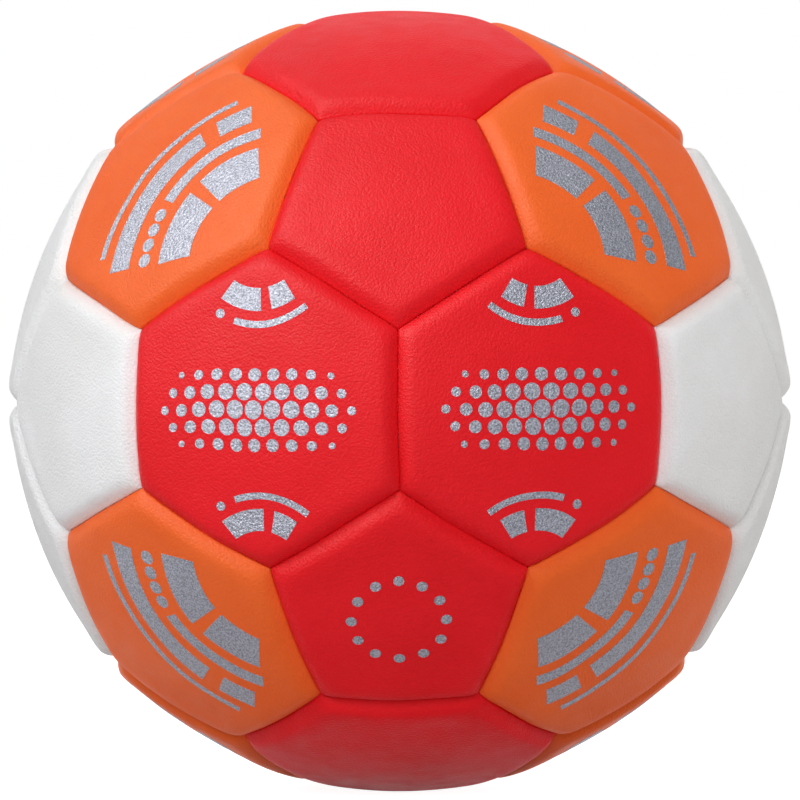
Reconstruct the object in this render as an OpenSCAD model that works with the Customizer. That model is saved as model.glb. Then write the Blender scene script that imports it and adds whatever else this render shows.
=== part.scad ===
// A stitched handball of 32 panels: 20 hexagons and 12 pentagons, over a bladder with a needle valve.
// The origin is the centre of the ball. -Y is the front, +X the right and +Z the top.

/* [Ball] */
// Diameter of the inflated ball, measured over the panels beside a seam
ball_d = 188; // [150:1:200]
// Radius that a panel is domed to, as a share of the ball's radius
dome_share = 1.18; // [1.04:0.01:1.2]

/* [Cover] */
// Thickness of the synthetic leather
cover_t = 1.3; // [0.9:0.05:1.6]
// Thickness of the foam pad under the leather
foam_t = 2.2; // [1.5:0.1:3.5]
// Thickness of the woven lining under the foam
lining_t = 1; // [0.6:0.1:1.6]
// Room round each foam pad and lining, where the glue is
glue_gap = 0.05; // [0.03:0.01:0.1]

/* [Seams] */
// Space between the turned-in edges of two panels
seam_gap = 0.3; // [0.2:0.05:0.5]
// Radius of the rounded shoulder beside a seam
shoulder_r = 5; // [4.8:0.1:6.5]
// Distance from a panel's edge to where its shoulder starts to round down
shoulder_w = 4.2; // [3.4:0.1:4.4]
// Diameter of the sewing thread
thread_d = 0.7; // [0.5:0.05:0.9]
// Height of the thread's middle above the inner rim of the panels' turned-in edges
thread_rise = 1.1; // [0.9:0.05:1.3]
// Room round the thread in its channel, and past its ends
thread_gap = 0.06; // [0.04:0.01:0.1]

/* [Bladder] */
// Thickness of the bladder's wall
bladder_t = 1.2; // [0.8:0.1:2]
// Space between the bladder and the nearest lining
bladder_gap = 0.1; // [0.08:0.02:0.3]
// Diameter of the balance patch opposite the valve
balance_d = 34; // [24:1:44]
// Thickness of the balance patch
balance_t = 1.4; // [0.8:0.1:2.5]

/* [Valve] */
// Diameter of the inflation needle's channel
needle_d = 2; // [1.6:0.1:2.4]
// Length of the needle's open channel, below its funnel
needle_l = 8; // [5:0.5:10]
// Diameter of the funnel's mouth
funnel_d = 3.4; // [3:0.1:4]
// Depth of the funnel
funnel_l = 0.8; // [0.5:0.1:1.2]
// Diameter of the self-sealing core
core_d = 5.2; // [4.6:0.1:5.8]
// Length of the core
core_l = 14; // [12:0.5:16]
// Diameter of the rubber collar at the core's lower end
core_collar_d = 7; // [6.6:0.1:7.6]
// Length of that collar
core_collar_l = 2.4; // [1.6:0.1:3]
// Diameter of the valve's neck, which fills the hole in the cover
neck_d = 8.4; // [8:0.1:9.6]
// How far the valve's mouth lies below the panel
mouth_sink = 0.4; // [0.2:0.1:0.8]
// Diameter of the valve's stem inside the bladder
stem_d = 12; // [10.5:0.5:14]
// Length of the valve's stem below its flange
stem_l = 12; // [11:0.5:16]
// Diameter of the valve's flange
flange_d = 34; // [24:1:44]
// Thickness of the flange
flange_t = 1.4; // [1:0.1:2.2]
// Diameter of the outlet through the stem's closed end
outlet_d = 3; // [2:0.2:4]
// Room round the core, the neck and the flange
valve_gap = 0.1; // [0.05:0.05:0.2]
// Diameter of the textile patch that backs the valve's panel
backing_d = 30; // [20:1:36]
// Thickness of that patch
backing_t = 0.2; // [0.1:0.05:0.3]

/* [Hidden] */
$fn = 96;
// The tangent ring of a shoulder stands this much over the dome, so that the two surfaces cross.
crease = 0.03;
// Cuts run this far past what they cut.
overrun = 2;
phi = (1 + sqrt(5)) / 2;
ball_r = ball_d / 2;
dome_r = ball_r * dome_share;
ply_depth = cover_t + foam_t + lining_t;
ply_inset = cover_t + glue_gap;
// Distance from centre to corner of a truncated icosahedron with edges of 1
corner_share = sqrt(58 + 18 * sqrt(5)) / 4;
// Half the angle that a seam's thread spans, seen from the ball's centre
seam_half_angle = asin(1 / (2 * corner_share));
// Half the angle that a seam's cuts span, so that they run past the panel's corners
seam_reach_share = 1.35;
seam_reach = seam_half_angle * seam_reach_share;
// The middles of two panels that touch lie nearer to each other than this cosine says.
neighbour_cosine_share = 0.7;

thread_path_r = ball_r - ply_depth + thread_rise;
// The bladder clears the linings of the hexagons, which are the lowest, and the valve's backing.
bladder_r = min(top_r(6), top_r(5) - glue_gap - backing_t) - ply_depth - bladder_gap;
bladder_inner_r = bladder_r - bladder_t;
// Heights on the valve's axis, from the ball's centre
mouth_z = top_r(5) - mouth_sink;
core_z = mouth_z - core_l;
flange_z = bladder_inner_r - valve_gap - flange_t;
neck_z = flange_z + flange_t / 2;

function front(y) = y < 0 ? "front" : "back";
function left(x) = x < 0 ? "left" : "right";
function upper(z) = z < 0 ? "lower" : "upper";
function top(z) = z < 0 ? "bottom" : "top";

// Each panel: its name, the direction of its middle, its colour and its number of sides.
PANELS = concat(
    [for (y = [-1, 1], x = [-1, 1])
        [str(front(y), "_", left(x), "_hexagon"), [x / phi, y * phi, 0], "red", 6]],
    [for (z = [1, -1], y = [-1, 1])
        [str(top(z), "_", front(y), "_hexagon"), [0, y / phi, z * phi], "red", 6]],
    [for (y = [-1, 1], z = [1, -1], x = [-1, 1])
        [str(front(y), "_", upper(z), "_", left(x), "_hexagon"), [x, y, z], "orange", 6]],
    [for (x = [-1, 1], z = [1, -1])
        [str(left(x), "_", upper(z), "_hexagon"), [x * phi, 0, z / phi], "white", 6]],
    [for (y = [-1, 1], z = [1, -1])
        [str(front(y), "_", upper(z), "_pentagon"), [0, y * phi, z], "red", 5]],
    [for (z = [1, -1], x = [-1, 1])
        [str(top(z), "_", left(x), "_pentagon"), [x, 0, z * phi], "orange", 5]],
    [for (x = [-1, 1], y = [-1, 1])
        [str(left(x), "_", front(y), "_pentagon"), [x * phi, y, 0], "white", 5]]
);
PAINTS = [["red", "#d8232b"], ["orange", "#ea6a2c"], ["white", "#ebebea"]];
VALVE_PANEL = "back_upper_pentagon";
// The panels of one colour and number of sides, whose foam pads and linings make one node each
PAD_SETS = [for (paint = PAINTS, sides = [6, 5]) [paint[0], sides]];

function unit(v) = v / norm(v);
function middle(p) = unit(p[1]);
function inner_share(n) = 1 / (2 * tan(180 / n));
function outer_share(n) = 1 / (2 * sin(180 / n));
// Angle from the middle of a panel with n sides to the seam plane beside it
function half_angle(n) = atan(inner_share(n) / sqrt(pow(corner_share, 2) - pow(outer_share(n), 2)));
// Distance of the dome's centre below the ball's centre, so that the dome meets the ball at the seam
function drop(n) =
    sqrt(pow(dome_r, 2) - pow(ball_r * sin(half_angle(n)), 2)) - ball_r * cos(half_angle(n));
function top_r(n) = dome_r - drop(n);
function set_name(s, kind) = str(s[0], "_", s[1] == 6 ? "hexagon" : "pentagon", "_", kind);
function set_panels(s) = [for (p = PANELS) if (p[2] == s[0] && p[3] == s[1] && p[0] != VALVE_PANEL) p];
function paint(name) = [for (p = PAINTS) if (p[0] == name) p[1]][0];
function panel(name) = [for (p = PANELS) if (p[0] == name) p][0];
function is_next_to(p, q) = middle(p) * middle(q) > neighbour_cosine_share;
// The seams between panels with m sides and panels with n sides, as pairs of panels
function seams(m, n) = [
    for (i = [0:len(PANELS) - 1], j = [0:len(PANELS) - 1])
        if (PANELS[i][3] == m && PANELS[j][3] == n && (m != n || i < j)
            && is_next_to(PANELS[i], PANELS[j]))
            [PANELS[i], PANELS[j]]
];

// Turns a form so that its X and Z axes lie along two directions at right angles.
module turn_to(x, z) {
    y = cross(z, x);
    multmatrix([[x[0], y[0], z[0], 0], [x[1], y[1], z[1], 0], [x[2], y[2], z[2], 0]])
        children();
}

// Puts a form made round +Z at a panel, with its first side towards a panel of the other kind.
module at_panel(p) {
    other = [for (q = PANELS) if (q[3] != p[3] && is_next_to(p, q)) q][0];
    turn_to(unit(cross(cross(middle(p), middle(other)), middle(p))), middle(p)) children();
}

// A ball round the centre of a panel's dome
module dome(n, r) {
    translate([0, 0, -drop(n)]) sphere(r = r);
}

// All that lies past the seam plane on one side of a panel, and past its inset
module past_seam(n, i, inset) {
    rotate([0, 0, i * 360 / n]) rotate([0, 90 + half_angle(n), 0])
        translate([-ball_d, -ball_d, -seam_gap / 2 - inset]) cube(2 * ball_d);
}

// Trims a form to the inside of a panel's seam planes, one seam after the other.
module trim_seams(n, inset, i = 0) {
    difference() {
        if (i < n - 1) {
            trim_seams(n, inset, i + 1) children();
        } else {
            children();
        }
        past_seam(n, i, inset);
    }
}

// Turns a form made round the Z axis to lie round the axis of one seam, on the side that the seam is on.
module along_seam(n, i) {
    rotate([0, 0, i * 360 / n]) rotate([0, 90 + half_angle(n), 0]) rotate([0, 0, 180 - seam_reach])
        children();
}

// The corner above a panel's shoulder, along one seam
module shoulder_cut(n, i, inset) {
    shoulder_h = -drop(n) * sin(half_angle(n)) - seam_gap / 2 - shoulder_w;
    ring_r = sqrt(pow(dome_r + crease - shoulder_r, 2) - pow(shoulder_h, 2));
    reach = shoulder_r + overrun;
    translate([0, 0, -drop(n)]) along_seam(n, i) rotate_extrude(angle = 2 * seam_reach) difference() {
        translate([ring_r, shoulder_h]) square([reach, reach]);
        translate([ring_r, shoulder_h]) circle(r = shoulder_r - inset);
    }
}

// Rounds down the shoulders of a panel, one seam after the other.
module round_shoulders(n, inset, i = 0) {
    difference() {
        if (i < n - 1) {
            round_shoulders(n, inset, i + 1) children();
        } else {
            children();
        }
        shoulder_cut(n, i, inset);
    }
}

// The part of the ball inside a panel's seams that lies between two depths below its dome
module ply(n, inset, top_depth, low_depth) {
    trim_seams(n, inset) difference() {
        dome(n, dome_r - top_depth);
        dome(n, dome_r - low_depth);
    }
}

// The channel that the thread of a seam lies in
module thread_channel(n, i) {
    along_seam(n, i) rotate_extrude(angle = 2 * seam_reach)
        translate([thread_path_r, 0]) circle(r = thread_d / 2 + thread_gap);
}

// Cuts the thread channels into a panel, one seam after the other.
module cut_channels(n, i = 0) {
    difference() {
        if (i < n - 1) {
            cut_channels(n, i + 1) children();
        } else {
            children();
        }
        thread_channel(n, i);
    }
}

// The leather of one panel, with its edges turned in round the foam and the lining
module cover_panel(p) {
    n = p[3];
    color(paint(p[2])) at_panel(p) difference() {
        cut_channels(n) difference() {
            round_shoulders(n, 0) ply(n, 0, 0, ply_depth);
            round_shoulders(n, cover_t) ply(n, cover_t, cover_t, ply_depth + overrun);
        }
        if (p[0] == VALVE_PANEL) neck_hole();
    }
}

module foam_pad(n) {
    color("#f1ead6") round_shoulders(n, ply_inset)
        ply(n, ply_inset, ply_inset, cover_t + foam_t - glue_gap);
}

module lining(n) {
    color("#e4e4e0") ply(n, ply_inset, cover_t + foam_t, ply_depth);
}

module foam_pads(s) {
    for (p = set_panels(s)) at_panel(p) foam_pad(s[1]);
}

module linings(s) {
    for (p = set_panels(s)) at_panel(p) lining(s[1]);
}

// Puts what is made round +Z on the axis of the valve.
module on_valve_axis() {
    at_panel(panel(VALVE_PANEL)) children();
}

// The hole for the valve's neck, all the way out from the middle of the ball
module neck_hole() {
    cylinder(d = neck_d + 2 * valve_gap, h = ball_r + overrun);
}

module valve_foam_pad() {
    on_valve_axis() difference() {
        foam_pad(5);
        neck_hole();
    }
}

module valve_lining() {
    on_valve_axis() difference() {
        lining(5);
        neck_hole();
    }
}

// The thread of the seam between two panels, which ends its own diameter short of the corners
module seam_thread(p, q) {
    a = middle(p);
    b = middle(q);
    out = unit(a * sin(half_angle(q[3])) + b * sin(half_angle(p[3])));
    reach = seam_half_angle - asin(thread_d / thread_path_r);
    turn_to(out, unit(cross(cross(a, b), out))) rotate([0, 0, -reach])
        rotate_extrude(angle = 2 * reach) translate([thread_path_r, 0]) circle(d = thread_d);
}

module seam_threads(m, n) {
    color("#f6f5f0") for (s = seams(m, n)) seam_thread(s[0], s[1]);
}

// A round patch on the Z axis, just inside the bladder's wall
module bladder_patch(d, t) {
    intersection() {
        difference() {
            sphere(r = bladder_inner_r - valve_gap);
            sphere(r = bladder_inner_r - valve_gap - t);
        }
        cylinder(d = d, h = ball_r);
    }
}

module bladder() {
    color("#34312f") difference() {
        sphere(r = bladder_r);
        sphere(r = bladder_inner_r);
        on_valve_axis() neck_hole();
    }
}

module balance_patch() {
    color("#4a4644") mirror([0, 1, 0]) mirror([0, 0, 1])
        on_valve_axis() bladder_patch(balance_d, balance_t);
}

// The patch of cloth behind the valve's panel, glued to its lining
module valve_backing() {
    color("#d9d6cc") on_valve_axis() difference() {
        intersection() {
            dome(5, dome_r - ply_depth - glue_gap);
            cylinder(d = backing_d, h = ball_r);
        }
        dome(5, dome_r - ply_depth - glue_gap - backing_t);
        neck_hole();
    }
}

// The outside of the core, or the room that it sits in, which is open at the mouth
module core_form(gap, open = 0) {
    translate([0, 0, core_z - gap]) {
        cylinder(d = core_d + 2 * gap, h = core_l + gap + open);
        cylinder(d = core_collar_d + 2 * gap, h = core_collar_l + 2 * gap);
    }
}

module valve_core() {
    color("#b9b4a6") on_valve_axis() difference() {
        core_form(0);
        translate([0, 0, mouth_z - funnel_l - needle_l])
            cylinder(d = needle_d, h = needle_l + funnel_l + overrun);
        translate([0, 0, mouth_z - funnel_l])
            cylinder(d1 = needle_d, d2 = 2 * funnel_d - needle_d, h = 2 * funnel_l);
    }
}

module valve_body() {
    stem_z = flange_z - stem_l;
    color("#26262a") on_valve_axis() difference() {
        union() {
            bladder_patch(flange_d, flange_t);
            translate([0, 0, neck_z]) cylinder(d = neck_d, h = mouth_z - neck_z);
            translate([0, 0, stem_z]) cylinder(d = stem_d, h = neck_z - stem_z);
        }
        core_form(valve_gap, overrun);
        translate([0, 0, stem_z - overrun]) cylinder(d = outlet_d, h = core_z - stem_z + overrun);
    }
}

for (p = PANELS) cover_panel(p);
for (s = PAD_SETS) foam_pads(s);
for (s = PAD_SETS) linings(s);
valve_foam_pad();
valve_lining();
seam_threads(6, 6);  // hexagon_seam_threads
seam_threads(6, 5);  // pentagon_seam_threads
bladder();
balance_patch();
valve_body();
valve_core();
valve_backing();
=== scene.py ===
"""The looks of a stitched handball: its leather panels, silver prints, materials, light and camera.

Lengths in the dressing are in millimetres until a mesh is made, and the scene is in metres.
"""

import math

import bpy
import numpy as np
from mathutils import Matrix, Vector


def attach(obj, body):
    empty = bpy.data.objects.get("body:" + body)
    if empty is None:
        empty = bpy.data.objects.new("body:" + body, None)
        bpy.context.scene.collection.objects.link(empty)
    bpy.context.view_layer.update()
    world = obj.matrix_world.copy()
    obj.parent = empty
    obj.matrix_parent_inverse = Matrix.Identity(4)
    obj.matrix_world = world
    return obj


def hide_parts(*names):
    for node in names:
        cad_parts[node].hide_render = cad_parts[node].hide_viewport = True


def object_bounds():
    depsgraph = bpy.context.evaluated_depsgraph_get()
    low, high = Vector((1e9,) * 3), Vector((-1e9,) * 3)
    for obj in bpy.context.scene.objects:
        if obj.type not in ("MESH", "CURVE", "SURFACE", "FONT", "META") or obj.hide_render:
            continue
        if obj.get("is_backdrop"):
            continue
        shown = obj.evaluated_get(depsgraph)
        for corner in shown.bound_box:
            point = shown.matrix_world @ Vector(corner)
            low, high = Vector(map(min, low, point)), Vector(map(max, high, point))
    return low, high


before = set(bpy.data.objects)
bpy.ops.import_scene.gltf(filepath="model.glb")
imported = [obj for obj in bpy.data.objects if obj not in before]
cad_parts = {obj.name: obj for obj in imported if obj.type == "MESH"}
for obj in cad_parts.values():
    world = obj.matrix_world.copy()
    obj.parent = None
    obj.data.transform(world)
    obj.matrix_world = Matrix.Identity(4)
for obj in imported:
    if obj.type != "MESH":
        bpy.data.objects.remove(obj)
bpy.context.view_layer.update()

MM = 0.001
PHI = (1 + math.sqrt(5)) / 2

# The ball, as the construction has it
BALL_R = 94.0
DOME_SHARE = 1.18
DOME_R = BALL_R * DOME_SHARE
COVER_T = 1.3
PLY_DEPTH = 4.5
SHOULDER_R = 5.0
SHOULDER_W = 4.2
THREAD_RISE = 1.1
CHANNEL_R = 0.41
CORNER_SHARE = math.sqrt(58 + 18 * math.sqrt(5)) / 4
VALVE_PANEL = "back_upper_pentagon"
VALVE_HOLE_R = 4.3

# How the leather differs from the bare construction
EDGE_GAP = 0.012
BEVEL_W = 3.9
BEVEL_TURN = 2.8
BEVEL_SLOPE = 1.0
CREASE_W = 0.26
CREASE_DEPTH = 0.36
CREASE_POWER = 1.5
PIT_W = 3.6
PIT_DEPTH = 0.42
CORNER_SHARP = 0.02
CORNER_BLEND = 1.0
CORNER_BLEND_FULL = 3.0
INNER_WALL = 1.38
INNER_ROOM = 0.15
SWELL = 0.3
SWELL_AT = 5.5
SWELL_WIDTH = 3.5
RIPPLE = 0.07
RIPPLE_LENGTH = 38.0
RIPPLE_SEED = 3
SEAM_WANDER = 0.14
SEAM_WANDER_LENGTH = 24.0
WANDER_SEEDS = (11, 12, 13)
WANDER_DEPTHS = (2.9, 2.3)
WAVE_COUNT = 7
WAVE_SPREAD = (0.7, 1.4)
HOLE_LIP = 0.5

# Mesh density
LATTICE_RINGS = 22
CORNER_CLUSTER = 0.6
FLAT_EDGE = 7.5
SHOULDER_RINGS = (6.6, 5.7, 5.0, 4.4, 3.9, 3.5, 3.1, 2.7, 2.3, 1.9, 1.5, 1.1, 0.7, 0.4, 0.24, 0.16, 0.08)
HOLE_SHARES = (0.08, 0.2, 0.34, 0.5, 0.66, 0.83, 1.0)
HOLE_STEPS = 5
INNER_RINGS = (2.0, 2.8, 3.6, 4.5, 6.0)
INNER_SHARES = (0.7, 0.4, 0.15)
CHANNEL_STEPS = 5

# The search for a point at a distance from the seams: how far past the nearest seam plane, and its steps
SEARCH_REACH = 1.35
SEARCH_STEPS = 34
NEIGHBOUR_COSINE = 0.7

# The silver prints: bands are (radius, width, start, stop), in millimetres and degrees about a place
PRINT_OVER = 0.05
PRINT_UNDER = 0.03
PRINT_STEP = 1.2
LEAST_LONG_STEPS = 4
LEAST_CROSS_STEPS = 3
DOT_POINTS = 28
SMALL_DOT_POINTS = 24
DOT_SHARES = (0.5, 1.0)
ORANGE_BANDS = (
    (19.0, 9.5, -40, -7),
    (19.0, 9.5, 0, 40),
    (31.5, 3.4, -41, 8),
    (38.0, 6.0, -37, -24),
    (38.0, 6.0, -18, 38),
    (47.0, 1.8, -32, 32),
)
ORANGE_DOT_TURNS = (15, 22, 29, 36)
ORANGE_DOT_DISTANCE = 33.2
ORANGE_DOT_R = 1.75
RED_BANDS = ((10.5, 5.4, -36, 4), (10.5, 5.4, 14, 36), (18.2, 1.6, -18, 40))
RED_DOT = (19.0, -30, 1.1)
FIELD_PITCH = 4.7
FIELD_ROWS = range(-5, 6)
FIELD_COLUMNS = range(-7, 8)
FIELD_HALF_WIDTH = 27.0
FIELD_HALF_HEIGHT = 12.5
FIELD_LEAST = 0.04
FIELD_DOT_R = (0.55, 1.6)
FIELD_DOT_FADE = 0.8
CIRCLE_R = 11.0
CIRCLE_DOT_R = 1.3
CIRCLE_TURNS = range(0, 360, 30)
RING_BAND = (13.0, 6.0)
RING_ARCS = ((-72, -14), (0, 34), (48, 96), (110, 132), (146, 214), (228, 274))

# Finishes: the size and depth of the grain, and how rough the surfaces are
GRAIN = 0.6
GRAIN_DEPTH = 0.15
WHITE_GRAIN_DEPTH = 0.2
FOIL_GRAIN_DEPTH = 0.22
PEBBLE_SHARE = -0.8
LEATHER_ROUGHNESS = (0.44, 0.54)
WHITE_ROUGHNESS = (0.52, 0.62)
FOIL_ROUGHNESS = (0.38, 0.46)

# Blender's noise lies mostly in this range, and its wave texture has this many bands to a unit
NOISE_RANGE = (0.3, 0.7)
BANDS_TO_UNIT = 3.2

# The floor and the light. A lamp is a name, the degrees to the front's right and above level, its size and
# power, its colour, and whether it lights matt and glossy surfaces
FLOOR_SIZE = 40.0
FLOOR_GREY = 0.55
FLOOR_GLOW = 0.94
ROOM_LIGHT = 0.12
LIGHT_DISTANCE = 2.2
LAMPS = (
    ("key_light", -60, 33, 1.0, 17.8, (0.98, 0.99, 1.0), True, True),
    ("front_light", -2, 17, 0.9, 20.5, (0.99, 0.99, 1.0), True, True),
    ("top_light", -20, 76, 1.6, 13.2, (0.99, 0.99, 1.0), True, True),
    ("side_light", 95, 20, 1.5, 15.2, (1.0, 0.98, 0.94), True, False),
    ("sheen_light", -56, 42, 2.0, 155.0, (1.0, 0.985, 0.94), False, True),
    ("back_light", 178, 30, 1.6, 15.0, (1.0, 1.0, 1.0), True, False),
)

# The camera, fitted to corners of seams
CAMERA_DISTANCE = 1.8375
CAMERA_TURN = math.radians(0.230)
CAMERA_RISE = math.radians(1.287)
CAMERA_ROLL = math.radians(-0.258)
SENSOR = 36.0
FOCAL_PIXELS = 7618.5
IMAGE_PIXELS = 800
CENTRE_OFF = (0.4, 1.0)


def unit(v):
    v = np.asarray(v, float)
    return v / np.linalg.norm(v, axis=-1, keepdims=True)


def inner_share(n):
    return 1 / (2 * math.tan(math.pi / n))


def outer_share(n):
    return 1 / (2 * math.sin(math.pi / n))


def half_angle(n):
    """Angle from the middle of a panel with n sides to the seam plane beside it."""
    return math.atan(inner_share(n) / math.sqrt(CORNER_SHARE**2 - outer_share(n) ** 2))


def drop(n):
    """Distance of the dome's centre below the ball's centre."""
    a = half_angle(n)
    return math.sqrt(DOME_R**2 - (BALL_R * math.sin(a)) ** 2) - BALL_R * math.cos(a)


def wave_field(seed, length):
    """A smooth field of about unit size over space, whose waves are about the given length."""
    rng = np.random.default_rng(seed)
    ways = unit(rng.normal(size=(WAVE_COUNT, 3))) * (2 * math.pi / length)
    ways *= rng.uniform(*WAVE_SPREAD, size=(WAVE_COUNT, 1))
    phases = rng.uniform(0, 2 * math.pi, WAVE_COUNT)
    return lambda p: np.sin(p @ ways.T + phases).sum(-1) / math.sqrt(WAVE_COUNT / 2)


ripple = wave_field(RIPPLE_SEED, RIPPLE_LENGTH)
wander = [wave_field(seed, SEAM_WANDER_LENGTH) for seed in WANDER_SEEDS]


class Panel:
    """One cover panel, in a frame whose z axis is its middle and whose x axis points at a first seam."""

    def __init__(self, name, middle, colour, sides):
        self.name, self.colour, self.n = name, colour, sides
        self.z = unit(middle)
        self.drop = drop(sides)
        self.half = half_angle(sides)

    def face(self, others):
        """Turns the first side towards a neighbour of the other kind."""
        near = [o for o in others if o.n != self.n and o.z @ self.z > NEIGHBOUR_COSINE][0]
        self.x = unit(near.z - (near.z @ self.z) * self.z)
        self.y = np.cross(self.z, self.x)
        angles = np.arange(self.n) * 2 * math.pi / self.n
        flat = math.cos(self.half)
        self.seam_normals = np.stack(
            [flat * np.cos(angles), flat * np.sin(angles), np.full(self.n, -math.sin(self.half))], 1
        )

    def all_distances(self, u):
        """Distances in from each seam plane."""
        return BALL_R * np.arcsin(np.clip(-(u @ self.seam_normals.T), -1, 1))

    def seam_distance(self, u):
        """Distance in from the nearest seam, rounded where two meet, for unit vectors in its own frame."""
        away = self.all_distances(u)
        nearest = away.min(-1, keepdims=True)
        blend = CORNER_SHARP + CORNER_BLEND * np.clip(nearest / CORNER_BLEND_FULL, 0, 1)
        total = np.exp(-(away - nearest) / blend).sum(-1)
        return nearest[..., 0] - blend[..., 0] * np.log(total)

    def dome(self, u, depth=0.0):
        """Distance from the ball's centre to the dome, or to a depth below it."""
        c = u[..., 2]
        return -self.drop * c + np.sqrt((DOME_R - depth) ** 2 - self.drop**2 * (1 - c**2))

    def skin(self, u):
        """Distance from the ball's centre to the leather's outer face."""
        d = self.seam_distance(u)
        rise = SWELL * np.exp(-(((d - SWELL_AT) / SWELL_WIDTH) ** 2))
        rise *= np.clip(d / SHOULDER_W, 0, 1)
        waves = RIPPLE * ripple(self.to_ball(u) * BALL_R) * np.clip(d / SHOULDER_W, 0, 1)
        over = np.clip(BEVEL_W - d, 0, None)
        turned = np.minimum(over, BEVEL_TURN)
        fall = BEVEL_SLOPE * (turned**2 / (2 * BEVEL_TURN) + over - turned)
        fall += CREASE_DEPTH * np.clip(1 - d / CREASE_W, 0, 1) ** CREASE_POWER
        second = np.sort(self.all_distances(u), -1)[..., 1]
        fall += PIT_DEPTH * np.clip(1 - second / PIT_W, 0, 1) ** 2
        return self.dome(u) - fall + rise + waves

    def inner(self, u):
        """Distance from the ball's centre to the leather's inner face."""
        d = self.seam_distance(u)
        fall = shoulder(d, SHOULDER_R - COVER_T, SHOULDER_W)
        return self.dome(u, COVER_T - INNER_ROOM) - fall

    def to_ball(self, v):
        """Vectors of the panel's frame in the ball's."""
        return v @ np.stack([self.x, self.y, self.z])

    def ray(self, azimuth, distance):
        """Unit vectors at azimuths, so far from the middle that they lie at a distance from the seams."""
        low = np.zeros_like(azimuth)
        high = np.full_like(azimuth, self.half * SEARCH_REACH)
        for _ in range(SEARCH_STEPS):
            mid = (low + high) / 2
            inside = self.seam_distance(polar(azimuth, mid)) > distance
            low, high = np.where(inside, mid, low), np.where(inside, high, mid)
        return polar(azimuth, low)


def polar(azimuth, tilt):
    """Unit vectors at azimuths about z, tilted away from it."""
    return np.stack([np.sin(tilt) * np.cos(azimuth), np.sin(tilt) * np.sin(azimuth), np.cos(tilt)], -1)


def shoulder(d, radius, width):
    """How far a shoulder has rounded down at a distance from the seam."""
    over = np.clip(width - d, 0, radius)
    return radius - np.sqrt(radius**2 - over**2)


def side_name(value, low, high):
    return low if value < 0 else high


def all_panels():
    """The 32 panels of a truncated icosahedron, named by where they lie."""
    found = []
    for s in (-1, 1):
        for t in (-1, 1):
            front, left = side_name(s, "front", "back"), side_name(t, "left", "right")
            upper, top = side_name(t, "lower", "upper"), side_name(s, "bottom", "top")
            side, rear = side_name(s, "left", "right"), side_name(t, "front", "back")
            found += [
                Panel(f"{front}_{left}_hexagon", (t / PHI, s * PHI, 0), "red", 6),
                Panel(f"{top}_{rear}_hexagon", (0, t / PHI, s * PHI), "red", 6),
                Panel(f"{side}_{upper}_hexagon", (s * PHI, 0, t / PHI), "white", 6),
                Panel(f"{front}_{upper}_pentagon", (0, s * PHI, t), "red", 5),
                Panel(f"{top}_{left}_pentagon", (t, 0, s * PHI), "orange", 5),
                Panel(f"{side}_{rear}_pentagon", (s * PHI, t, 0), "white", 5),
            ]
            found += [
                Panel(f"{front}_{upper}_{side_name(x, 'left', 'right')}_hexagon", (x, s, t), "orange", 6)
                for x in (-1, 1)
            ]
    for p in found:
        p.face(found)
    return {p.name: p for p in found}


class Skin:
    """Collects rings of points and the faces between them."""

    def __init__(self):
        self.points, self.faces, self.count = [], [], 0

    def ring(self, points):
        points = np.asarray(points, float).reshape(-1, 3)
        self.points.append(points)
        self.count += len(points)
        return np.arange(self.count - len(points), self.count)

    def bridge(self, a, b):
        for i in range(len(a)):
            j = (i + 1) % len(a)
            self.faces.append((a[i], b[i], b[j], a[j]))

    def fan(self, a, point):
        middle = self.ring(point)[0]
        for i in range(len(a)):
            self.faces.append((a[i], middle, a[(i + 1) % len(a)]))

    def grid(self, points, flip=False):
        """A grid of points, rows by columns, with a face between each four."""
        rows, columns = points.shape[:2]
        at = self.ring(points).reshape(rows, columns)
        for i in range(rows - 1):
            for j in range(columns - 1):
                face = (at[i, j], at[i, j + 1], at[i + 1, j + 1], at[i + 1, j])
                self.faces.append(face[::-1] if flip else face)
        return at

    def mesh(self, name):
        data = bpy.data.meshes.new(name)
        points = (np.concatenate(self.points) * MM).tolist()
        data.from_pydata(points, [], [list(map(int, f)) for f in self.faces])
        data.validate()
        data.shade_smooth()
        data.update()
        return data


def boundary_azimuths(n, share, cluster):
    """Azimuths along a side of each sector, at shares of the side, drawn towards the corners."""
    share = share - cluster / (2 * math.pi) * np.sin(2 * math.pi * share)
    along = (2 * share - 1) * math.tan(math.pi / n)
    side = np.arange(n)[:, None] * 2 * math.pi / n
    return (side + np.arctan(along)[None, :]).ravel()


def settle(panel, points):
    """Takes points from a panel's frame to the ball's, where the seams wander a little near the surface."""
    p = panel.to_ball(points)
    r = np.linalg.norm(p, axis=-1, keepdims=True)
    low, high = (BALL_R - depth for depth in WANDER_DEPTHS)
    weight = np.clip((r - low) / (high - low), 0, 1)
    weight = weight * weight * (3 - 2 * weight)
    shift = np.stack([w(p) for w in wander], -1) * SEAM_WANDER
    shift -= (shift * p).sum(-1, keepdims=True) * p / r**2
    return p + shift * weight


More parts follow.
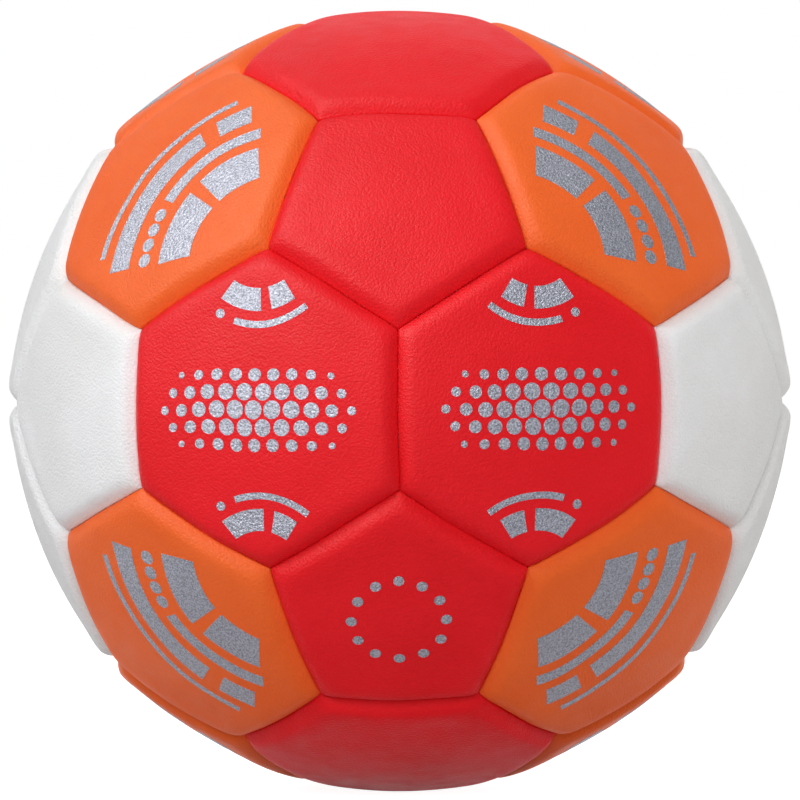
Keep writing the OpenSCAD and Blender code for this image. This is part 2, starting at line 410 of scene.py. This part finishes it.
def panel_mesh(panel):
    """One panel's leather: domed face, shoulders, turned-in edges with the thread's channel, and inside."""
    n, skin = panel.n, Skin()
    steps = np.arange(LATTICE_RINGS) / LATTICE_RINGS
    rim = boundary_azimuths(n, steps, CORNER_CLUSTER)

    def put(u, r):
        return skin.ring(settle(panel, u * np.reshape(r, (-1, 1))))

    def flat(u):
        return u[:, :2] / u[:, 2:]

    def lift(xy):
        return unit(np.concatenate([xy, np.ones((len(xy), 1))], 1))

    edge_xy = flat(panel.ray(rim, FLAT_EDGE))
    has_hole = panel.name == VALVE_PANEL
    if has_hole:
        last, hole_start = hole_rings(panel, put, skin, rim, edge_xy, lift)
    else:
        last = lattice(panel, put, skin, flat, lift)
    for d in SHOULDER_RINGS + (EDGE_GAP,):
        u = panel.ray(rim, d)
        here = put(u, panel.skin(u))
        skin.bridge(last, here)
        last = here
    thread_r = BALL_R - PLY_DEPTH + THREAD_RISE
    reach = math.acos(EDGE_GAP / CHANNEL_R)
    for a in np.linspace(reach, -reach, CHANNEL_STEPS):
        u = panel.ray(rim, CHANNEL_R * math.cos(a))
        here = put(u, np.full(len(u), thread_r + CHANNEL_R * math.sin(a)))
        skin.bridge(last, here)
        last = here
    for d in (EDGE_GAP, INNER_WALL):
        u = panel.ray(rim, d)
        here = put(u, panel.dome(u, PLY_DEPTH))
        skin.bridge(last, here)
        last = here
    for d in (INNER_WALL,) + INNER_RINGS:
        u = panel.ray(rim, d)
        here = put(u, panel.inner(u))
        skin.bridge(last, here)
        last = here
    if has_hole:
        u = lift(hole_circle(rim))
        here = put(u, panel.inner(u))
        skin.bridge(last, here)
        skin.bridge(here, hole_start)
    else:
        for share in INNER_SHARES:
            u = lift(edge_xy * share)
            here = put(u, panel.inner(u))
            skin.bridge(last, here)
            last = here
        top = np.array([[0.0, 0.0, 1.0]])
        skin.fan(last, settle(panel, top * panel.inner(top)[:, None]))
    return skin.mesh(panel.name + "_leather")


def lattice(panel, put, skin, flat, lift):
    """The domed middle of a panel, as rings that each have one point more a side than the last."""
    n = panel.n
    top = np.array([[0.0, 0.0, 1.0]])
    before = put(top, panel.skin(top))
    for k in range(1, LATTICE_RINGS + 1):
        cluster = CORNER_CLUSTER * (k / LATTICE_RINGS) ** 2
        edge = flat(panel.ray(boundary_azimuths(n, np.arange(k) / k, cluster), FLAT_EDGE))
        u = lift(edge * (k / LATTICE_RINGS))
        here = put(u, panel.skin(u))
        for j in range(n):
            for i in range(k):
                a, b = here[j * k + i], here[(j * k + i + 1) % (n * k)]
                low = before[(j * (k - 1) + i) % len(before)]
                skin.faces.append((low, a, b))
                if i < k - 1:
                    skin.faces.append((low, b, before[(j * (k - 1) + i + 1) % len(before)]))
        before = here
    return before


def hole_circle(azimuths, radius=VALVE_HOLE_R):
    return np.stack([np.cos(azimuths), np.sin(azimuths)], 1) * radius / (BALL_R - COVER_T)


def hole_rings(panel, put, skin, rim, edge_xy, lift):
    """The valve's hole: its wall, a rounded lip, and the face out to the shoulder."""
    u = lift(hole_circle(rim))
    start = last = put(u, panel.inner(u) + HOLE_LIP / 4)
    for a in np.linspace(0, math.pi / 2, HOLE_STEPS):
        u = lift(hole_circle(rim, VALVE_HOLE_R + HOLE_LIP * (1 - math.cos(a))))
        here = put(u, panel.skin(u) - HOLE_LIP * (1 - math.sin(a)))
        skin.bridge(last, here)
        last = here
    inner_xy = hole_circle(rim, VALVE_HOLE_R + HOLE_LIP)
    for share in HOLE_SHARES:
        u = lift(inner_xy + (edge_xy - inner_xy) * share)
        here = put(u, panel.skin(u))
        skin.bridge(last, here)
        last = here
    return last, start


def add_piece(name, mesh, slot, material, *replaced):
    piece = bpy.data.objects.new(name, mesh)
    bpy.context.scene.collection.objects.link(piece)
    piece.data.materials.append(material)
    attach(piece, "root")
    if replaced:
        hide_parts(*replaced)


class Finish:
    """A procedural material on the Principled shader, with short ways to add its nodes."""

    def __init__(self, name, **sockets):
        self.data = bpy.data.materials.new(name)
        self.data.use_nodes = True
        self.tree = self.data.node_tree
        self.shader = [n for n in self.tree.nodes if n.type == "BSDF_PRINCIPLED"][0]
        self.place = self.add("ShaderNodeTexCoord").outputs["Object"]
        self.set(**sockets)

    def put(self, node, sockets):
        for name, value in sockets.items():
            socket = node.inputs[name.replace("_", " ")]
            if isinstance(value, bpy.types.NodeSocket):
                self.tree.links.new(value, socket)
            else:
                socket.default_value = value
        return node

    def set(self, **sockets):
        self.put(self.shader, sockets)

    def add(self, kind, **sockets):
        return self.put(self.tree.nodes.new(kind), sockets)

    def noise(self, size, detail=2.0, roughness=0.5, distortion=0.0):
        made = self.add("ShaderNodeTexNoise", Vector=self.place, Scale=1 / (size * MM), Detail=detail)
        return self.put(made, {"Roughness": roughness, "Distortion": distortion}).outputs["Fac"]

    def cells(self, size, feature="F1", place=None):
        made = self.add("ShaderNodeTexVoronoi", Vector=place or self.place, Scale=1 / (size * MM))
        made.feature = feature
        return made.outputs["Distance"]

    def bands(self, size, direction, distortion=1.0):
        scale = 1 / (size * MM * BANDS_TO_UNIT)
        made = self.add("ShaderNodeTexWave", Vector=self.place, Scale=scale, Distortion=distortion)
        made.bands_direction = direction
        return made.outputs["Fac"]

    def warped(self, size, amount):
        """Object coordinates pushed about, by up to an amount, by noise of a size."""
        made = self.add("ShaderNodeTexNoise", Vector=self.place, Scale=1 / (size * MM), Detail=1.0)
        push = self.add("ShaderNodeVectorMath")
        push.operation = "MULTIPLY_ADD"
        self.tree.links.new(made.outputs["Color"], push.inputs[0])
        push.inputs[1].default_value = (amount * MM,) * 3
        self.tree.links.new(self.place, push.inputs[2])
        return push.outputs["Vector"]

    def ramp(self, value, *stops):
        made = self.add("ShaderNodeValToRGB", Fac=value)
        elements = made.color_ramp.elements
        elements[0].position, elements[0].color = stops[0]
        elements[1].position, elements[1].color = stops[-1]
        for at, colour in stops[1:-1]:
            elements.new(at).color = colour
        return made.outputs["Color"]

    def span(self, value, low, high, start=0.0, end=1.0):
        made = self.add("ShaderNodeMapRange", Value=value, From_Min=start, From_Max=end)
        return self.put(made, {"To_Min": low, "To_Max": high}).outputs["Result"]

    def join(self, operation, a, b, c=0.0):
        made = self.add("ShaderNodeMath")
        made.operation = operation
        for socket, value in zip(made.inputs, (a, b, c)):
            if isinstance(value, bpy.types.NodeSocket):
                self.tree.links.new(value, socket)
            else:
                socket.default_value = value
        return made.outputs["Value"]

    def pebbles(self, fine, share):
        """Height of the grain: pebbles with creases between them, and a share of a finer height."""
        cells = self.cells(GRAIN, place=self.warped(GRAIN * 2.0, GRAIN * 0.5))
        return self.join("MULTIPLY_ADD", fine, share, self.join("MULTIPLY", cells, PEBBLE_SHARE))

    def bump(self, height, depth, under=None):
        made = self.add("ShaderNodeBump", Height=height, Distance=depth * MM, Strength=1.0)
        if under is not None:
            self.tree.links.new(under, made.inputs["Normal"])
        return made.outputs["Normal"]


def srgb(r, g, b):
    """A linear colour with alpha from one in sRGB, 0 to 255."""
    return tuple(c / 3294.6 if c < 10.3 else ((c / 255 + 0.055) / 1.055) ** 2.4 for c in (r, g, b)) + (1.0,)


def leather(name, light, dark, roughness=LEATHER_ROUGHNESS, depth=GRAIN_DEPTH):
    """Coated leather with a fine pebbled grain: two tones of one colour, and creases between the pebbles."""
    made = Finish(name, Specular_IOR_Level=0.09)
    made.set(Base_Color=made.ramp(made.noise(size=26.0, detail=3.0), (0.35, dark), (0.62, light)))
    made.set(Roughness=made.span(made.noise(size=5.0, detail=2.0), *roughness, *NOISE_RANGE))
    grain = made.pebbles(made.noise(size=GRAIN * 0.5, detail=2.0), share=0.55)
    soft = made.bump(made.noise(size=9.0, detail=1.0), depth=0.03)
    made.set(Normal=made.bump(grain, depth, soft))
    return made.data


def foil(name):
    """Silver print that has taken the leather's grain."""
    made = Finish(name, Metallic=0.8, Specular_IOR_Level=0.2)
    grain = made.pebbles(made.noise(size=GRAIN * 0.4, detail=3.0, roughness=0.65), share=1.0)
    flecks = made.noise(size=GRAIN * 0.75, detail=2.0, roughness=0.6)
    made.set(Base_Color=made.ramp(flecks, (0.36, srgb(98, 99, 108)), (0.6, srgb(136, 138, 148))))
    made.set(Roughness=made.span(made.noise(size=2.0, detail=2.0), *FOIL_ROUGHNESS, *NOISE_RANGE))
    made.set(Normal=made.bump(grain, FOIL_GRAIN_DEPTH))
    return made.data


def rubber(name, light, dark, roughness=0.6):
    """Moulded rubber, a little mottled and dusty."""
    made = Finish(name, Roughness=roughness, Specular_IOR_Level=0.4)
    made.set(Base_Color=made.ramp(made.noise(size=6.0, detail=3.0), (0.35, dark), (0.65, light)))
    made.set(Normal=made.bump(made.noise(size=0.5, detail=3.0, roughness=0.6), depth=0.02))
    return made.data


def foam(name):
    """Open foam whose pores are pits, with painted shade darkening them."""
    made = Finish(name, Roughness=0.9, Specular_IOR_Level=0.2)
    pores = made.cells(size=0.45)
    # Painted shade: the base colour is darker in the pits that the bump sinks at each pore.
    made.set(Base_Color=made.ramp(pores, (0.1, srgb(188, 186, 176)), (0.6, srgb(226, 224, 214))))
    made.set(Normal=made.bump(pores, depth=0.12))
    return made.data


def woven(name, light, dark, pitch=0.7):
    """Plain weave: bands one way and the other, raised where each passes over, with painted shade where they
    dip.
    """
    made = Finish(name, Roughness=0.85, Specular_IOR_Level=0.2, Sheen_Weight=0.15)
    weave = made.join("MULTIPLY", made.bands(pitch, "X"), made.bands(pitch, "Z"))
    # Painted shade: the base colour is darker where the weave is low, between the threads.
    made.set(Base_Color=made.ramp(weave, (0.05, dark), (0.7, light)))
    made.set(Normal=made.bump(weave, depth=0.1))
    return made.data


def twisted(name, light, dark):
    """Waxed thread whose strands run round it at a slant, with painted shade in the grooves between them."""
    made = Finish(name, Roughness=0.45, Specular_IOR_Level=0.4)
    strands = made.bands(0.35, "DIAGONAL", distortion=2.0)
    # Painted shade: the base colour is darker in the grooves between the strands.
    made.set(Base_Color=made.ramp(strands, (0.1, dark), (0.7, light)))
    made.set(Normal=made.bump(strands, depth=0.08))
    return made.data


white_tones = srgb(243, 243, 244), srgb(237, 237, 236)
paints = {
    "red": leather("red_leather", srgb(232, 29, 38), srgb(226, 26, 34)),
    "orange": leather("orange_leather", srgb(243, 107, 46), srgb(239, 101, 41)),
    "white": leather("white_leather", *white_tones, WHITE_ROUGHNESS, WHITE_GRAIN_DEPTH),
}
silver = foil("silver_foil")
cad_finishes = {
    "foam_pad": foam("foam"),
    # The darker colour of each woven or twisted finish is painted shade between its threads.
    "lining": woven("woven_lining", srgb(232, 230, 222), srgb(196, 193, 182)),
    "thread": twisted("waxed_thread", srgb(222, 220, 214), srgb(176, 174, 168)),
    "bladder": rubber("bladder_rubber", srgb(52, 50, 50), srgb(38, 37, 38)),
    "balance_patch": rubber("patch_rubber", srgb(84, 80, 78), srgb(64, 61, 60), 0.7),
    "valve_body": rubber("valve_rubber", srgb(60, 58, 58), srgb(44, 43, 44), 0.5),
    "valve_core": rubber("core_rubber", srgb(168, 60, 44), srgb(150, 50, 38), 0.5),
    "valve_backing": woven("backing_cloth", srgb(240, 238, 230), srgb(206, 203, 194), 0.5),
}

panels = all_panels()
for panel in panels.values():
    mesh = panel_mesh(panel)
    add_piece(panel.name + "_leather", mesh, panel.colour + "_cover", paints[panel.colour], panel.name)


class Spot:
    """A place on the ball with directions about it: along 0 degrees towards another place."""

    def __init__(self, middle, towards):
        self.z = unit(middle)
        self.x = unit(np.asarray(towards) - (np.asarray(towards) @ self.z) * self.z)
        self.y = np.cross(self.z, self.x)

    def at(self, distance, degrees):
        """Unit vectors a distance over the surface from the place."""
        d, a = np.broadcast_arrays(np.asarray(distance) / BALL_R, np.radians(degrees))
        local = polar(a, d)
        return local @ np.stack([self.x, self.y, self.z])


class Print:
    """Thin closed shells of foil that lie on one panel."""

    def __init__(self, panel):
        self.panel, self.skin, self.sides = panel, Skin(), []

    def lay(self, ball_units, height):
        """Points on the panel, so far over the leather, for unit vectors in the ball's frame."""
        p = self.panel
        u = ball_units @ np.stack([p.x, p.y, p.z]).T
        return settle(p, u * (p.skin(u) + height)[..., None])

    def sheet(self, units):
        """A shell from a grid of directions, rows by columns."""
        rows, columns = units.shape[:2]
        top = self.skin.grid(self.lay(units, PRINT_OVER))
        low = self.skin.grid(self.lay(units, -PRINT_UNDER), flip=True)
        edge = [(0, j) for j in range(columns)] + [(i, columns - 1) for i in range(1, rows)]
        edge += [(rows - 1, j) for j in range(columns - 2, -1, -1)]
        edge += [(i, 0) for i in range(rows - 2, 0, -1)]
        for (i, j), (k, m) in zip(edge, edge[1:] + edge[:1]):
            self.sides.append(len(self.skin.faces))
            self.skin.faces.append((top[i, j], low[i, j], low[k, m], top[k, m]))

    def arc(self, spot, radius, width, start, stop):
        """A band of a ring about a spot, from one turn to another in degrees."""
        start, stop = sorted((start, stop))
        long_steps = max(LEAST_LONG_STEPS, int(math.radians(stop - start) * radius / PRINT_STEP))
        cross_steps = max(LEAST_CROSS_STEPS, int(width / PRINT_STEP) + 2)
        turn = np.linspace(start, stop, long_steps + 1)
        distance = radius + np.linspace(0, width, cross_steps)
        self.sheet(spot.at(distance[None, :], turn[:, None]))

    def disc(self, spot, distance, turn, radius, count=DOT_POINTS):
        """A round dot."""
        middle = spot.at(distance, turn)
        own = Spot(middle, spot.z if distance > 1e-6 else spot.x)
        around = np.arange(count) * 360 / count
        rings = [own.at(radius * s, around) for s in DOT_SHARES]
        top = [self.skin.ring(self.lay(r, PRINT_OVER)) for r in rings]
        low = [self.skin.ring(self.lay(r, -PRINT_UNDER)) for r in rings]
        self.skin.fan(top[0][::-1], self.lay(middle[None, :], PRINT_OVER))
        self.skin.bridge(top[0], top[1])
        first = len(self.skin.faces)
        self.skin.bridge(top[1], low[1])
        self.sides += range(first, len(self.skin.faces))
        self.skin.bridge(low[1], low[0])
        self.skin.fan(low[0], self.lay(middle[None, :], -PRINT_UNDER))

    def finish(self):
        """Makes the piece, with sharp edges where the foil ends."""
        data = self.skin.mesh(self.panel.name + "_print")
        sharp = np.zeros(len(data.edges), bool)
        for side in self.sides:
            sharp[[data.loops[i].edge_index for i in data.polygons[side].loop_indices]] = True
        data.edges.foreach_set("use_edge_sharp", sharp)
        add_piece(self.panel.name + "_print", data, "silver_print", silver)


def junction(pentagon, beyond):
    """The seam junction a third of the way from one pentagon to another."""
    return unit(2 * panels[pentagon].z + panels[beyond].z)


def handed(*ends):
    """1 or -1, so that prints mirror each other over the ball's middle planes."""
    return math.prod(1 if end in ("left", "upper", "top", "front") else -1 for end in ends)


def ripple_prints(side):
    """Broken rings about the junctions of red, red and orange panels on the front or the back half."""
    for level in ("upper", "lower"):
        pentagon = f"{side}_{level}_pentagon"
        for hand in ("left", "right"):
            place = junction(pentagon, f"{hand}_{side}_pentagon")
            orange = panels[f"{side}_{level}_{hand}_hexagon"]
            spot = Spot(place, orange.z)
            shapes = Print(orange)
            mirror = handed(hand, level, side)
            for radius, width, start, stop in ORANGE_BANDS:
                shapes.arc(spot, radius, width, mirror * start, mirror * stop)
            for turn in ORANGE_DOT_TURNS:
                shapes.disc(spot, ORANGE_DOT_DISTANCE, mirror * turn, ORANGE_DOT_R)
            shapes.finish()
    for hand in ("left", "right"):
        red = panels[f"{side}_{hand}_hexagon"]
        shapes = Print(red)
        dot_field(shapes, Spot(red.z, np.cross(red.z, (0, 0, 1))))
        for level in ("upper", "lower"):
            place = junction(f"{side}_{level}_pentagon", f"{hand}_{side}_pentagon")
            spot = Spot(place, red.z)
            mirror = handed(hand, level, side)
            for radius, width, start, stop in RED_BANDS:
                shapes.arc(spot, radius, width, mirror * start, mirror * stop)
            distance, turn, radius = RED_DOT
            shapes.disc(spot, distance, mirror * turn, radius)
        shapes.finish()
    low = panels[f"{side}_lower_pentagon"]
    shapes = Print(low)
    own = Spot(low.z, (0, 0, 1))
    for turn in CIRCLE_TURNS:
        shapes.disc(own, CIRCLE_R, turn, CIRCLE_DOT_R, SMALL_DOT_POINTS)
    shapes.finish()


def dot_field(shapes, own):
    """An oval field of dots that shrink outwards."""
    for row in FIELD_ROWS:
        for column in FIELD_COLUMNS:
            across = (column + (row % 2) / 2) * FIELD_PITCH
            up = row * FIELD_PITCH * math.sqrt(3) / 2
            fade = 1 - (across / FIELD_HALF_WIDTH) ** 2 - (up / FIELD_HALF_HEIGHT) ** 2
            if fade > FIELD_LEAST:
                distance = math.hypot(across, up)
                turn = math.degrees(math.atan2(up, across))
                radius = FIELD_DOT_R[0] + FIELD_DOT_R[1] * fade**FIELD_DOT_FADE
                shapes.disc(own, distance, turn, radius, SMALL_DOT_POINTS)


def ring_prints():
    """Broken rings on the orange pentagons."""
    for level in ("top", "bottom"):
        for hand in ("left", "right"):
            end = panels[f"{level}_{hand}_pentagon"]
            shapes = Print(end)
            own = Spot(end.z, (0, -1, 0))
            mirror = handed(hand, level)
            for start, stop in RING_ARCS:
                shapes.arc(own, *RING_BAND, mirror * start, mirror * stop)
            shapes.finish()


ripple_prints("front")
ripple_prints("back")
ring_prints()

for name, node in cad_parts.items():
    kind = [finish for key, finish in cad_finishes.items() if key in name]
    if kind:
        for material_slot in node.material_slots:
            material_slot.material = kind[0]


def seen(tree):
    """1 for what the camera sees, straight, in gloss or through glass, and 0 for other light."""
    rays = tree.nodes.new("ShaderNodeLightPath")
    total = rays.outputs["Is Camera Ray"]
    for kind in ("Is Glossy Ray", "Is Transmission Ray"):
        either = tree.nodes.new("ShaderNodeMath")
        either.operation = "MAXIMUM"
        tree.links.new(total, either.inputs[0])
        tree.links.new(rays.outputs[kind], either.inputs[1])
        total = either.outputs[0]
    return total


def make_floor(height):
    """White paper that keeps the ball's shadow."""
    data = bpy.data.meshes.new("floor")
    ways = ((-1, -1), (1, -1), (1, 1), (-1, 1))
    data.from_pydata([(FLOOR_SIZE * x, FLOOR_SIZE * y, height) for x, y in ways], [], [(0, 1, 2, 3)])
    floor = bpy.data.objects.new("floor", data)
    bpy.context.scene.collection.objects.link(floor)
    paper = bpy.data.materials.new("studio_paper")
    paper.use_nodes = True
    tree = paper.node_tree
    tree.nodes.clear()
    paint = tree.nodes.new("ShaderNodeBsdfDiffuse")
    paint.inputs["Color"].default_value = (FLOOR_GREY, FLOOR_GREY, FLOOR_GREY, 1)
    glow = tree.nodes.new("ShaderNodeEmission")
    glow.inputs["Strength"].default_value = FLOOR_GLOW
    both = tree.nodes.new("ShaderNodeAddShader")
    mix = tree.nodes.new("ShaderNodeMixShader")
    out = tree.nodes.new("ShaderNodeOutputMaterial")
    link = tree.links.new
    link(paint.outputs[0], both.inputs[0])
    link(glow.outputs[0], both.inputs[1])
    link(seen(tree), mix.inputs[0])
    link(paint.outputs[0], mix.inputs[1])
    link(both.outputs[0], mix.inputs[2])
    link(mix.outputs[0], out.inputs["Surface"])
    data.materials.append(paper)
    floor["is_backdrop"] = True


def make_world():
    """A soft grey room by which the ball is lit, and a white one behind it and in its reflections."""
    world = bpy.data.worlds.new("studio")
    bpy.context.scene.world = world
    world.use_nodes = True
    tree = world.node_tree
    tree.nodes.clear()
    room = tree.nodes.new("ShaderNodeBackground")
    room.inputs["Color"].default_value = (1, 1, 1, 1)
    room.inputs["Strength"].default_value = ROOM_LIGHT
    backdrop = tree.nodes.new("ShaderNodeBackground")
    backdrop.inputs["Color"].default_value = (1, 1, 1, 1)
    backdrop.inputs["Strength"].default_value = 1.0
    mix = tree.nodes.new("ShaderNodeMixShader")
    out = tree.nodes.new("ShaderNodeOutputWorld")
    tree.links.new(seen(tree), mix.inputs[0])
    tree.links.new(room.outputs[0], mix.inputs[1])
    tree.links.new(backdrop.outputs[0], mix.inputs[2])
    tree.links.new(mix.outputs[0], out.inputs["Surface"])


def soft_box(name, turn, rise, size, power, colour, on_matt, on_gloss):
    """A square area light turned to the ball."""
    a, e = math.radians(turn), math.radians(rise)
    way = Vector((math.sin(a) * math.cos(e), -math.cos(a) * math.cos(e), math.sin(e)))
    data = bpy.data.lights.new(name, "AREA")
    data.shape = "SQUARE"
    data.size = size
    data.energy = power
    data.color = colour
    light = bpy.data.objects.new(name, data)
    bpy.context.scene.collection.objects.link(light)
    turned = way.to_track_quat("Z", "Y").to_matrix().to_4x4()
    light.matrix_world = Matrix.Translation(way * LIGHT_DISTANCE) @ turned
    light.visible_diffuse = on_matt
    light.visible_glossy = on_gloss


def make_camera():
    """The camera where the photograph was taken from."""
    rise, turn = CAMERA_RISE, CAMERA_TURN
    back = Vector((math.sin(turn) * math.cos(rise), -math.cos(turn) * math.cos(rise), math.sin(rise)))
    across = Vector((0, 0, 1)).cross(back).normalized()
    up = back.cross(across)
    c, s = math.cos(CAMERA_ROLL), math.sin(CAMERA_ROLL)
    across, up = c * across + s * up, c * up - s * across
    data = bpy.data.cameras.new("camera")
    data.sensor_width = SENSOR
    data.lens = FOCAL_PIXELS * SENSOR / IMAGE_PIXELS
    data.shift_x = CENTRE_OFF[0] / IMAGE_PIXELS
    data.shift_y = CENTRE_OFF[1] / IMAGE_PIXELS
    camera = bpy.data.objects.new("camera", data)
    bpy.context.scene.collection.objects.link(camera)
    turned = Matrix((across, up, back)).transposed().to_4x4()
    camera.matrix_world = Matrix.Translation(back * CAMERA_DISTANCE) @ turned
    bpy.context.scene.camera = camera


make_floor(float(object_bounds()[0][2]))
make_world()
for lamp in LAMPS:
    soft_box(*lamp)
make_camera()
bpy.context.scene.view_settings.view_transform = "Standard"
